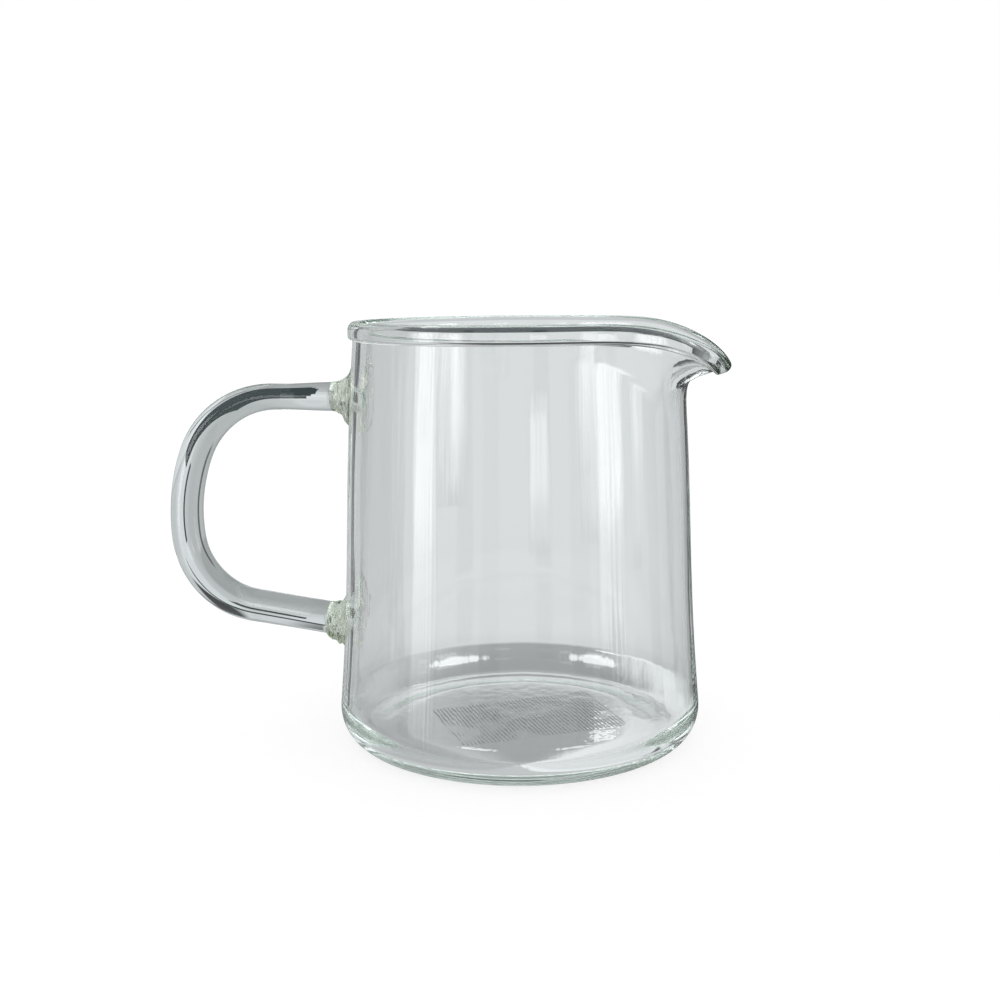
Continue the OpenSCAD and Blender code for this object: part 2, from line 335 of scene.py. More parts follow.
# %% Turn the section into a closed mesh
LIP_STEP, PLAIN_STEP, STEP_SLACK = 0.6, 1.5, 0.01
OUTER_SEED, INNER_SEED = 1.3, 4.6


def cup_angles():
    """Angles of the rings, closer together at the lip, where the rim turns sharply."""
    angles = []
    turn = -180.0
    while turn < 180.0 - STEP_SLACK:
        angles.append(math.radians(turn))
        turn += LIP_STEP if abs(turn + STEP_SLACK) <= LIP_HALF_TURN else PLAIN_STEP
    return angles


def new_piece(name, mesh_maker):
    """An object of that name from a bmesh that mesh_maker fills, smooth and facing outwards."""
    mesh = bpy.data.meshes.new(name)
    bm = bmesh.new()
    mesh_maker(bm)
    bmesh.ops.recalc_face_normals(bm, faces=bm.faces)
    for face in bm.faces:
        face.smooth = True
    bm.to_mesh(mesh)
    bm.free()
    piece = bpy.data.objects.new(name, mesh)
    bpy.context.scene.collection.objects.link(piece)
    print(name, "has", len(mesh.vertices), "points and", len(mesh.polygons), "faces")
    return piece


def cup_ring(angle):
    """The whole section at this angle, with its swells, set in space."""
    outer, rim, inner = cup_section(angle)
    ring = [(r - swells(angle, z, OUTER_SEED), z) for r, z in outer]
    ring += rim
    ring += [(r + swells(angle, z, INNER_SEED), z) for r, z in inner]
    x, y = math.cos(angle), math.sin(angle)
    return [(r * x * MM, r * y * MM, z * MM) for r, z in ring]


def cup_mesh(bm):
    """Faces between the rings, closed at the axis under the floor and on top of it."""
    rings = [[bm.verts.new(p) for p in cup_ring(angle)] for angle in cup_angles()]
    under = bm.verts.new((0, 0, KICK_H * MM))
    inside = bm.verts.new((0, 0, FLOOR_Z * MM))
    for i, ring in enumerate(rings):
        after = rings[(i + 1) % len(rings)]
        bm.faces.new((under, after[0], ring[0]))
        bm.faces.new((inside, ring[-1], after[-1]))
        for a, b, c, d in zip(ring, ring[1:], after[1:], after):
            bm.faces.new((a, d, c, b))


blown_cup = new_piece("blown_cup", cup_mesh)

# %% [markdown]
# ## The bent rod
# The handle is a solid glass rod, bent hot: a straight arm, a bend, a gently curved back, a second
# bend and a straight arm back to the wall. Its centre line is built from those five stretches,
# and rings are set along it. Stretching the soft rod in its upper arm drew it thin, and the inner
# side of a bend gathers glass, so the rings change size on the way. Its ends are rounded, as a rod
# melts, and they sit inside the welds.

# %% The rod's centre line and thickness
ROD_D, ROD_TOP_D, ROD_END_D, BEND_SWELL = 8.0, 6.1, 7.0, 0.5
ROD_TOP_Z = PITCHER_H - 18.1
ARM_FALL, ARM_L = math.radians(0.5), 14.8
UPPER_BEND_R, UPPER_BEND = 22.3, math.radians(68)
BACK_R, BACK = 45.0, math.radians(27)
LOWER_BEND_R, LOWER_BEND = 19.1, math.radians(77)
WELD_L = 5.7


def straight(p, s):
    """The place and heading that far straight on from p."""
    return (p[0] + s * math.cos(p[2]), p[1] + s * math.sin(p[2]), p[2])


def bend(p, r, a):
    """The place and heading after a bend of that radius through that angle."""
    return (
        p[0] + r * (math.sin(p[2] + a) - math.sin(p[2])),
        p[1] + r * (math.cos(p[2]) - math.cos(p[2] + a)),
        p[2] + a,
    )


ARM_START = (-wall_r(ROD_TOP_Z) - WELD_L, ROD_TOP_Z, math.pi + ARM_FALL)
ARM_END = straight(ARM_START, ARM_L)
BACK_START = bend(ARM_END, UPPER_BEND_R, UPPER_BEND)
BACK_END = bend(BACK_START, BACK_R, BACK)
LOW_ARM_START = bend(BACK_END, LOWER_BEND_R, LOWER_BEND)
LOW_ARM_L = (-wall_r(LOW_ARM_START[1]) - WELD_L - LOW_ARM_START[0]) / math.cos(LOW_ARM_START[2])

UPPER_BEND_S = ARM_L + UPPER_BEND_R * UPPER_BEND
BACK_S = UPPER_BEND_S + BACK_R * BACK
LOWER_BEND_S = BACK_S + LOWER_BEND_R * LOWER_BEND
ROD_L = LOWER_BEND_S + LOW_ARM_L


def rod_at(s):
    """Centre and heading of the rod at length s: x, z and an angle in radians."""
    if s < ARM_L:
        return straight(ARM_START, s)
    if s < UPPER_BEND_S:
        return bend(ARM_END, UPPER_BEND_R, (s - ARM_L) / UPPER_BEND_R)
    if s < BACK_S:
        return bend(BACK_START, BACK_R, (s - UPPER_BEND_S) / BACK_R)
    if s < LOWER_BEND_S:
        return bend(BACK_END, LOWER_BEND_R, (s - BACK_S) / LOWER_BEND_R)
    return straight(LOW_ARM_START, s - LOWER_BEND_S)


def rod_r(s):
    """Radius of the rod at length s: thin in the upper arm, fat in the lower bend."""
    thick = mix(ROD_TOP_D, ROD_D, ease((s - ARM_L / 2) / (UPPER_BEND_S - ARM_L / 2))) / 2
    end = (ROD_END_D - ROD_TOP_D) / 2 * (1 - ease(s / ARM_L))
    middle, reach = (BACK_S + LOWER_BEND_S) / 2, LOWER_BEND_S - BACK_S
    return thick + end + BEND_SWELL / 2 * (1 - ease(abs(s - middle) / reach))


print("the rod is", round(ROD_L, 1), "mm long between its welds")

# %% The rod's mesh
ROD_RINGS, ROD_SIDES, END_RINGS = 150, 48, 7
ROD_SINK = 2.2
ROD_WAVE, ROD_WAVE_PACES, ROD_WAVE_PHASE = 0.02, (0.31, 0.083), 1.0


def oval(centre, up, down, side, sides):
    """A ring square to the heading, with its own half size up, down and to the sides."""
    x, z, a = centre
    ring = []
    for i in range(sides):
        t = 2 * math.pi * i / sides
        rise = math.sin(t) * (up if math.sin(t) > 0 else down)
        ring.append(Vector((x - rise * math.sin(a), side * math.cos(t), z + rise * math.cos(a))))
    return ring


def skin(bm, rings):
    """Closed skin over a row of rings, with a point in the middle of each end ring."""
    rows = [[bm.verts.new(p * MM) for p in ring] for ring in rings]
    n = len(rows[0])
    for row, after in zip(rows, rows[1:]):
        for j in range(n):
            k = (j + 1) % n
            bm.faces.new((row[j], row[k], after[k], after[j]))
    for row, ring in ((rows[0], rings[0]), (rows[-1], rings[-1])):
        tip = bm.verts.new(sum(ring, Vector()) / n * MM)
        for j in range(n):
            bm.faces.new((row[j], row[(j + 1) % n], tip))


def round_end(place, r, way, i):
    """Ring i of a rounded end that runs on from place, forwards or back."""
    t = math.pi / 2 * i / (END_RINGS + 1)
    return oval(straight(place, way * ROD_SINK * math.sin(t)), *[r * math.cos(t)] * 3, ROD_SIDES)


def rod_mesh(bm):
    """Rings along the rod, a touch uneven as drawn rod is, between two rounded ends."""
    rings = [round_end(ARM_START, rod_r(0), -1, i) for i in range(END_RINGS, 0, -1)]
    quick, slow = ROD_WAVE_PACES
    for i in range(ROD_RINGS + 1):
        s = ROD_L * i / ROD_RINGS
        r = rod_r(s) - ROD_WAVE * (1 + math.sin(quick * s) * math.sin(slow * s + ROD_WAVE_PHASE))
        rings.append(oval(rod_at(s), r, r, r, ROD_SIDES))
    rings += [round_end(rod_at(ROD_L), rod_r(ROD_L), 1, i) for i in range(1, END_RINGS + 1)]
    skin(bm, rings)


handle_rod = new_piece("bent_rod", rod_mesh)

# %% [markdown]
# ## The two welds
# Where the rod meets the cup, hot glass was pressed onto the wall and spread. Each weld swells out
# from the rod to a wide foot on the wall, and it is crinkled, because it cooled while it was being
# pushed. The flare is a row of rings, and a noise that is stretched along the folds moves each
# point in or out. The foot follows the wall's own curve and bites a hair's breadth into it. Deeper
# in, light would cross a second face inside the glass, and an odd dark oval would show there.

# %% The welds' meshes
WELD_RINGS, WELD_SIDES, WELD_FOOT_RINGS = 40, 72, 10
WELD_BITE = 0.03
WELD_SWELL = 0.03
# how far each side of a weld spreads, and how late on its way to the wall
SIDE_SPREAD = (3.4, 2.2)
UPPER_OVER, UPPER_UNDER = (6.6, 3.6), (6.2, 1.8)
LOWER_OVER, LOWER_UNDER = (7.6, 5.7), (3.2, 0.7)
# the foot takes on the wall's curve only close to it
FOOT_POWER = 4
CRINKLE, CRINKLE_FADE = 0.62, 0.25
# folds lie across the rod, in layers of (how much finer, share). Lumps are wider
FOLD_PACE, FOLD_LAYERS = (0.85, 0.30), ((1.0, 1.0), (2.3, 0.5), (5.1, 0.25))
LUMP_PACE, LUMP_SHARE = (0.25, 0.35), 0.8
UPPER_SEED, LOWER_SEED = 2.0, 9.0


def crinkle(p, seed, size):
    """How far a point of the melted glass is pushed out, in mm."""
    along, across = FOLD_PACE
    q = Vector((p.x * along + seed, p.y * across, p.z * across))
    fold = sum(share * noise.noise(q * finer) for finer, share in FOLD_LAYERS)
    along, across = LUMP_PACE
    lump = noise.noise(Vector((p.x * along, p.y * across, p.z * across + seed)))
    return size * (fold + LUMP_SHARE * lump)


def wall_x(p):
    """Where the left side of the cup's outer face is, level with p, and a hair's breadth into it."""
    return -math.sqrt(wall_r(p.z) ** 2 - p.y**2) + WELD_BITE


def weld_mesh(bm, c, r, over, under, outwards, seed):
    """Melted glass from the rod's end at c to the wall. over and under are (spread, power).
    outwards says that the rod heads away from the wall there, so that its up is turned over."""
    level = math.pi if outwards else 2 * math.pi
    up, down = (under, over) if outwards else (over, under)
    foot_x = -wall_r(c[1])
    rings = []
    for i in range(WELD_RINGS + 1):
        s = math.sin(math.pi / 2 * i / WELD_RINGS)
        centre = (mix(c[0], foot_x, s), c[1], mix(c[2], level, s))
        sizes = [r + spread * s**late for spread, late in (up, down, SIDE_SPREAD)]
        ring = oval(centre, *sizes, WELD_SIDES)
        middle = Vector((centre[0], 0, centre[1]))
        size = CRINKLE * ease(s / CRINKLE_FADE)
        ring = [p + (p - middle).normalized() * crinkle(p, seed, size) for p in ring]
        rings.append([Vector((p.x + (wall_x(p) - foot_x) * s**FOOT_POWER, p.y, p.z)) for p in ring])
    edge = rings[-1]
    middle = Vector((0, 0, c[1]))
    for i in range(1, WELD_FOOT_RINGS):
        spots = [p.lerp(middle, i / WELD_FOOT_RINGS) for p in edge]
        rings.append([Vector((wall_x(p), p.y, p.z)) for p in spots])
    skin(bm, rings)


def upper_weld_mesh(bm):
    """Spread far above and below the arm."""
    weld_mesh(bm, ARM_START, rod_r(0) + WELD_SWELL, UPPER_OVER, UPPER_UNDER, True, UPPER_SEED)


def lower_weld_mesh(bm):
    """Spread far up the wall, and little under the arm."""
    weld_mesh(bm, rod_at(ROD_L), rod_r(ROD_L) + WELD_SWELL, LOWER_OVER, LOWER_UNDER, False, LOWER_SEED)


upper_weld = new_piece("upper_weld_gather", upper_weld_mesh)
lower_weld = new_piece("lower_weld_gather", lower_weld_mesh)

# %% [markdown]
# ## The film under the floor
# A clear film with rounded corners sticks in the hollow under the floor. It is a thin plate with
# real thickness, so that it casts a shadow and has an edge. It carries a plain, worn hatch. That is
# made in its material and not in its shape, because it is as flat as the film.

# %% The film's mesh
LABEL_L, LABEL_W, LABEL_T, LABEL_CORNER_R = 42.0, 27.0, 0.15, 2.0
LABEL_TURN, LABEL_X = math.radians(28.5), 2.0
LABEL_CORNER_STEPS = 8
LABEL_GAP = 0.01


def film_outline():
    """The film's edge, corner by corner, turned and placed under the floor."""
    points = []
    for k, (sx, sy) in enumerate(((1, 1), (-1, 1), (-1, -1), (1, -1))):
        corner = (sx * (LABEL_L / 2 - LABEL_CORNER_R), sy * (LABEL_W / 2 - LABEL_CORNER_R))
        points += arc(corner, LABEL_CORNER_R, LABEL_CORNER_R, 90 * k, 90 * k + 90, LABEL_CORNER_STEPS)
    c, s = math.cos(LABEL_TURN), math.sin(LABEL_TURN)
    return [(LABEL_X + x * c - y * s, x * s + y * c) for x, y in points]


def film_mesh(bm):
    """A thin plate: its edge once below and once above, with a hair's gap to the glass."""
    heights = (KICK_H - LABEL_T, KICK_H - LABEL_GAP)
    skin(bm, [[Vector((x, y, z)) for x, y in film_outline()] for z in heights])


label_film = new_piece("label_film", film_mesh)
for face in label_film.data.polygons:
    face.use_smooth = False

# %% [markdown]
# ## Glass
# Clear glass has almost no colour of its own on its surface. It gets its faint green-grey from the
# light that it swallows on the way through, so thick places are darker than thin ones. That is a
# Volume Absorption inside a Principled BSDF with full transmission, rather than a tinted surface.
# The tube that a cup is blown from has fine lines along it, from being drawn. They are a shared
# group here: a noise stretched along one direction, which tilts the surface very slightly. The
# welds take the same group with a deeper bump, for the finest of their crinkles.

# %% A short way to write nodes
def add_node(tree, kind, settings=None, **inputs):
    """A node of that kind. An input is a number, a colour or another node's output socket, and its
    keyword is the socket's name with _ for a space, or i and the socket's number."""
    made = tree.nodes.new(kind)
    for key, value in (settings or {}).items():
        setattr(made, key, value)
    for key, value in inputs.items():
        name = key.replace("_", " ")
        socket = made.inputs[int(name[1:])] if name[1:].isdigit() else made.inputs[name]
        if isinstance(value, bpy.types.NodeSocket):
            tree.links.new(value, socket)
        else:
            socket.default_value = value
    return made


def maths(tree, operation, *values):
    """The result of a Math node on those values."""
    inputs = {f"i{k}": value for k, value in enumerate(values)}
    return add_node(tree, "ShaderNodeMath", {"operation": operation}, **inputs).outputs["Value"]


def ramp(tree, value, low, high, at_low, at_high):
    """A soft step: at_low below low, at_high above high."""
    made = add_node(
        tree, "ShaderNodeMapRange", {"interpolation_type": "SMOOTHSTEP"},
        Value=value, From_Min=low, From_Max=high, To_Min=at_low, To_Max=at_high,
    )
    return made.outputs["Result"]


print("helpers for nodes:", add_node.__name__, maths.__name__, ramp.__name__)

# %% The drawn lines, shared by every glass
LINES_DETAIL = 2.0


def drawn_lines_group():
    """A group that gives the height of fine lines along the glass."""
    group = bpy.data.node_groups.new("drawn_lines", "ShaderNodeTree")
    for label, default in (("Lines per metre", 400.0), ("Stretch", 0.03)):
        socket = group.interface.new_socket(label, in_out="INPUT", socket_type="NodeSocketFloat")
        socket.default_value = default
    group.interface.new_socket("Height", in_out="OUTPUT", socket_type="NodeSocketFloat")
    start = group.nodes.new("NodeGroupInput")
    end = group.nodes.new("NodeGroupOutput")
    place = add_node(group, "ShaderNodeTexCoord")
    along = add_node(group, "ShaderNodeCombineXYZ", X=1.0, Y=1.0, Z=start.outputs["Stretch"])
    squeeze = add_node(
        group, "ShaderNodeVectorMath", {"operation": "MULTIPLY"},
        i0=place.outputs["Object"], i1=along.outputs["Vector"],
    )
    lines = add_node(
        group, "ShaderNodeTexNoise",
        Vector=squeeze.outputs["Vector"], Scale=start.outputs["Lines per metre"], Detail=LINES_DETAIL,
    )
    group.links.new(lines.outputs["Fac"], end.inputs["Height"])
    return group


drawn_lines = drawn_lines_group()
print("made the group", drawn_lines.name)

# %% Glass materials
IOR = 1.473
# a little above 1, so that the colour that is swallowed most still isn't 0 in the volume's colour
DENSITY_SPARE = 1.2


def new_material(name):
    """An empty material and its node tree."""
    material = bpy.data.materials.new(name)
    material.use_nodes = True
    material.node_tree.nodes.clear()
    return material, material.node_tree


def glass_material(name, lines_per_metre, stretch, bump_mm, swallowed):
    """Clear glass that swallows those shares of red, green and blue light per millimetre."""
    material, tree = new_material(name)
    lines = add_node(
        tree, "ShaderNodeGroup", {"node_tree": drawn_lines},
        Lines_per_metre=lines_per_metre, Stretch=stretch,
    )
    bump = add_node(
        tree, "ShaderNodeBump",
        Distance=bump_mm * MM, Strength=1.0, Height=lines.outputs["Height"],
    )
    shader = add_node(
        tree, "ShaderNodeBsdfPrincipled",
        Base_Color=(1, 1, 1, 1), Roughness=0.0, IOR=IOR, Transmission_Weight=1.0,
        Normal=bump.outputs["Normal"],
    )
    density = DENSITY_SPARE * max(swallowed) / MM
    colour = [1 - share / MM / density for share in swallowed]
    volume = add_node(tree, "ShaderNodeVolumeAbsorption", Color=(*colour, 1), Density=density)
    add_node(
        tree, "ShaderNodeOutputMaterial",
        Surface=shader.outputs["BSDF"], Volume=volume.outputs["Volume"],
    )
    return material


blown_glass = glass_material(
    "blown_glass", lines_per_metre=350, stretch=0.03, bump_mm=0.02, swallowed=(0.0038, 0.0031, 0.0036),
)
rod_glass = glass_material(
    "rod_glass", lines_per_metre=300, stretch=0.5, bump_mm=0.005, swallowed=(0.0120, 0.0090, 0.0095),
)
weld_glass = glass_material(
    "weld_glass", lines_per_metre=700, stretch=0.3, bump_mm=0.2, swallowed=(0.022, 0.018, 0.030),
)
print("made", blown_glass.name, rod_glass.name, "and", weld_glass.name)

# %% Film material
INK_COLOUR, INK_ROUGHNESS = (0.30, 0.32, 0.33, 1), 0.35
# the scales are roughly in repeats per metre
HATCH_SCALE, WEAR_SCALE, WEAR_DETAIL = 330.0, 90.0, 3.0
# each is the noise from which ink starts and is full, and how much it covers there
HATCH_STEP, WEAR_STEP = (0.62, 0.9, 0.0, 1.0), (0.38, 0.56, 0.0, 0.7)
BARE_ALPHA = 0.02


def film_material():
    """Clear film with a worn hatch on it: the alpha is the ink's, and nearly nothing between."""
    material, tree = new_material("clear_film")
    place = add_node(tree, "ShaderNodeTexCoord").outputs["Object"]
    turned = add_node(tree, "ShaderNodeMapping", Vector=place, Rotation=(0, 0, -LABEL_TURN))
    along = turned.outputs["Vector"]
    wave = add_node(tree, "ShaderNodeTexWave", Vector=along, Scale=HATCH_SCALE)
    worn = add_node(tree, "ShaderNodeTexNoise", Vector=along, Scale=WEAR_SCALE, Detail=WEAR_DETAIL)
    ink = ramp(tree, wave.outputs["Fac"], *HATCH_STEP)
    kept = ramp(tree, worn.outputs["Fac"], *WEAR_STEP)
    alpha = maths(tree, "MULTIPLY_ADD", ink, kept, BARE_ALPHA)
    shader = add_node(
        tree, "ShaderNodeBsdfPrincipled",
        Base_Color=INK_COLOUR, Roughness=INK_ROUGHNESS, Alpha=alpha,
    )
    add_node(tree, "ShaderNodeOutputMaterial", Surface=shader.outputs["BSDF"])
    return material


clear_film = film_material()
print("made", clear_film.name)

# %% [markdown]
# ## Hand each piece to the frame
# A piece says which CAD body it moves with, which CAD nodes it stands for, and which finish of the
# record it takes. The pitcher has no moving part, so all of them ride on the one body.

# %% Finish, body and stand-ins
for piece, material, slot, nodes_stood_for in (
    (blown_cup, blown_glass, "blown_glass", ("vessel_body", "rim_bead", "pouring_lip")),
    (handle_rod, rod_glass, "rod_glass", ("handle_rod",)),
    (upper_weld, weld_glass, "weld_glass", ("upper_weld",)),
    (lower_weld, weld_glass, "weld_glass", ("lower_weld",)),
    (label_film, clear_film, "clear_film", ("base_label",)),
):
    piece.data.materials.append(material)
    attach(piece, "root")
    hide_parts(*nodes_stood_for)
    print(piece.name, "stands for", ", ".join(nodes_stood_for))

# %% [markdown]
# ## The floor
# The picture has a plain white background, so the camera sees a white floor that keeps the
# pitcher's soft shadow. It glows a little under its matt grey, so it is nearly white on its own and
# a shadow still shows. It lets the glass's own rays through: what the glass shows is made next.

# %% The floor
FLOOR_BELOW, FLOOR_HALF = 0.03, 6000.0
FLOOR_GREY, FLOOR_GLOW = 0.23, 0.815
WHITE = (1, 1, 1, 1)


def floor_mesh(bm):
    """One big square, a hair below the foot."""
    bmesh.ops.create_grid(bm, x_segments=1, y_segments=1, size=FLOOR_HALF * MM)
    bmesh.ops.translate(bm, verts=bm.verts, vec=(0, 0, -FLOOR_BELOW * MM))


def floor_material():
    """Matt and glowing for the camera and for shadows, and not there for light in the glass."""
    material, tree = new_material("white_floor")
    grey = (FLOOR_GREY, FLOOR_GREY, FLOOR_GREY, 1)
    matt = add_node(tree, "ShaderNodeBsdfDiffuse", Color=grey).outputs["BSDF"]
    glow = add_node(tree, "ShaderNodeEmission", Color=WHITE, Strength=FLOOR_GLOW).outputs["Emission"]
    lit = add_node(tree, "ShaderNodeAddShader", i0=matt, i1=glow).outputs["Shader"]
    gone = add_node(tree, "ShaderNodeBsdfTransparent", Color=WHITE).outputs["BSDF"]
    ray = add_node(tree, "ShaderNodeLightPath").outputs
    in_glass = maths(tree, "MAXIMUM", ray["Is Glossy Ray"], ray["Is Transmission Ray"])
    pick = add_node(tree, "ShaderNodeMixShader", Fac=in_glass, i1=lit, i2=gone)
    add_node(tree, "ShaderNodeOutputMaterial", Surface=pick.outputs["Shader"])
    return material


floor = new_piece("floor", floor_mesh)
floor.data.materials.append(floor_material())

# %% [markdown]
# ## The quiet room
# Glass has no look of its own: it shows what stands round it. The camera sees plain white, but the
# glass shows a second, quieter room: white behind it, dimmer below and to the sides, which gives it
# its grey body and its dark edges. Light Path tells the two apart. A direction in this room has a
# rise above the level and a turn round the cup, both in degrees, and a turn of about 99 is straight
# behind the cup for the camera. The room is built up from masks: soft steps and bands of the two.
# They are made for the picture's own view. From the lip's side the room shows an upright break
# behind the handle, where the turn jumps from 180 to -180 degrees.

# %% Masks
def sine(degrees):
    """The sine of an angle in degrees."""
    return math.sin(math.radians(degrees))


def both(tree, *masks):
    """All of the masks at once."""
    product = masks[0]
    for mask in masks[1:]:
        product = maths(tree, "MULTIPLY", product, mask)
    return product


def inverse(tree, mask):
    """Where the mask isn't."""
    return maths(tree, "SUBTRACT", 1.0, mask)


def dimmed(tree, light, mask, share):
    """The light, less that share of it where the mask is 1."""
    return both(tree, light, inverse(tree, both(tree, mask, share)))


def brighter(tree, light, other):
    """The brighter of the two."""
    return maths(tree, "MAXIMUM", light, other)


def between(tree, value, low, high, soft):
    """1 between low and high, 0 outside, with soft edges."""
    start = ramp(tree, value, low - soft, low + soft, 0.0, 1.0)
    return both(tree, start, ramp(tree, value, high - soft, high + soft, 1.0, 0.0))


def step_of_rise(tree, rise, low, high, at_low, at_high):
    """A soft step over the rise, which is given as its sine."""
    return ramp(tree, rise, sine(low), sine(high), at_low, at_high)


def step_of_turn(tree, turn, low, high, at_low, at_high):
    """A soft step over the turn, which is given in radians."""
    return ramp(tree, turn, math.radians(low), math.radians(high), at_low, at_high)


def band_of_rise(tree, rise, low, high, soft):
    """Directions between two rises."""
    return between(tree, rise, sine(low), sine(high), soft)


def band_of_turn(tree, turn, low, high, soft):
    """Directions between two turns."""
    return between(tree, turn, math.radians(low), math.radians(high), soft)


def ray_kinds(tree):
    """The ray's counts, and masks for light that only goes through glass, that is also thrown back
    inside it, and that went through just two faces of it."""
    ray = add_node(tree, "ShaderNodeLightPath").outputs
    mirrored = maths(tree, "GREATER_THAN", ray["Glossy Depth"], 0.5)
    inside = maths(tree, "GREATER_THAN", ray["Transmission Depth"], 0.5)
    two = maths(tree, "COMPARE", ray["Transmission Depth"], 2.0, 0.5)
    return ray, inverse(tree, mirrored), both(tree, mirrored, inside), two


print("a rise is compared by its sine: 20 degrees are", round(sine(20), 3))

# %% [markdown]
# ## What stands in the room
# Light that only goes through the glass sees the backdrop. Below its lower edge lies the table,
# which gives the floor of the cup its grey: darkest in the middle and pale to the right. Light that
# is thrown back inside the glass leaves it near an edge, so dark flags all round draw the edges.
# Three small lamps, low behind the cup, shine through its floor as soft spots.

# %% The room's parts
# a soft step is: from, to, value before, value after. A band is: from, to, softness.
BACKDROP_EDGE = (-23, -15, 0.0, 0.77)
CEILING = (30, 50, 1.0, 0.8)
BACKDROP_MIDDLE, BACKDROP_SIDES = 99, (0.94, 0.995, 0.83, 1.0)
LEFT_END, LEFT_END_DIM = (105.5, 108.5, 0.0, 1.0), 0.2

TABLE_MIDDLE, TABLE = 98, (1, 7, 0.37, 0.56)
TABLE_RIGHT, TABLE_RIGHT_RISE = (91, 96.5, 0.95, 0.3), (-19, -15, 1.0, 0.0)
TABLE_IN_ROD = 0.60

ABOVE_RISE, ABOVE_TURN, ABOVE_DIM = (6, 36, 0.03), (83, 104, 0.05), 0.93

LEVEL = (-28, 7, 0.04)
EDGE_FLAGS = ((130.8, 4.4), (79, 7.5), (20, 6), (-40, 6), (-100, 6), (-160, 6))
FLAG_SOFT, EDGE_FLAG_DIM = 0.02, 0.95
ROD_FLAG, ROD_FLAG_DIM = (140, 147, FLAG_SOFT), 0.75
HIGH, HIGH_DIM = (10, 16, 0.0, 1.0), 0.45

# turn, rise and half size of each lamp
LAMPS = ((101.4, -24.0, 1.4), (95.4, -23.6, 1.4), (94.1, -20.6, 0.9))
LAMP_LIGHT, LAMP_RIM = 0.6, 0.7


def backdrop(tree, rise, turn, straight, two):
    """White behind, and quieter below, above and at the sides."""
    aside = maths(tree, "ABSOLUTE", maths(tree, "SUBTRACT", turn, math.radians(TABLE_MIDDLE)))
    right = step_of_turn(tree, turn, *TABLE_RIGHT)
    right = both(tree, right, step_of_rise(tree, rise, *TABLE_RIGHT_RISE))
    table = brighter(tree, step_of_turn(tree, aside, *TABLE), right)
    table = brighter(tree, table, both(tree, two, TABLE_IN_ROD))
    room = brighter(tree, step_of_rise(tree, rise, *BACKDROP_EDGE), table)
    room = both(tree, room, step_of_rise(tree, rise, *CEILING))
    off_middle = maths(tree, "SUBTRACT", turn, math.radians(BACKDROP_MIDDLE))
    room = both(tree, room, ramp(tree, maths(tree, "COSINE", off_middle), *BACKDROP_SIDES))
    left_end = both(tree, straight, step_of_turn(tree, turn, *LEFT_END))
    return dimmed(tree, room, left_end, LEFT_END_DIM)


def with_flags(tree, room, rise, turn, straight, thrown, two):
    """Dark flags: above the backdrop for the underside of the rim, and all round for the edges."""
    above = both(tree, band_of_rise(tree, rise, *ABOVE_RISE), band_of_turn(tree, turn, *ABOVE_TURN))
    room = dimmed(tree, room, both(tree, straight, two, above), ABOVE_DIM)
    level = band_of_rise(tree, rise, *LEVEL)
    for middle, half in EDGE_FLAGS:
        flag = band_of_turn(tree, turn, middle - half, middle + half, FLAG_SOFT)
        room = dimmed(tree, room, both(tree, thrown, level, flag), EDGE_FLAG_DIM)
    rod_flag = both(tree, straight, two, level, band_of_turn(tree, turn, *ROD_FLAG))
    room = dimmed(tree, room, rod_flag, ROD_FLAG_DIM)
    return dimmed(tree, room, both(tree, thrown, step_of_rise(tree, rise, *HIGH)), HIGH_DIM)


def with_lamps(tree, room, direction, mask):
    """Small round lamps, for the light that the mask lets see them."""
    for turn, rise, size in LAMPS:
        level, way = math.cos(math.radians(rise)), math.radians(turn)
        towards = (math.cos(way) * level, math.sin(way) * level, sine(rise))
        facing = add_node(
            tree, "ShaderNodeVectorMath", {"operation": "DOT_PRODUCT"}, i0=direction, i1=towards,
        )
        edge = math.cos(math.radians(size))
        glint = ramp(tree, facing.outputs["Value"], edge, mix(edge, 1.0, LAMP_RIM), 0.0, LAMP_LIGHT)
        room = maths(tree, "ADD", room, both(tree, mask, glint))
    return room


print("the backdrop starts between", BACKDROP_EDGE[0], "and", BACKDROP_EDGE[1], "degrees of rise")

# %% [markdown]
# ## The world
# Two more rules finish the room. Light that was thrown about for long has lost much on the way, so
# it starts brighter. What an outside face mirrors is dimmer than what is seen through the glass,
# and dimmest from behind and to the right of the cup.

# %% The world
LONG_PATH = (7.5, 14.0, 1.0, 2.8)
MIRRORED_DIM = (94, 100, 0.5, 0.35)
MIRRORED_RIGHT, MIRRORED_RIGHT_DIM = (58, 94, 0.04), 0.8
ROOM_COLOUR = (0.945, 0.985, 1.0, 1)


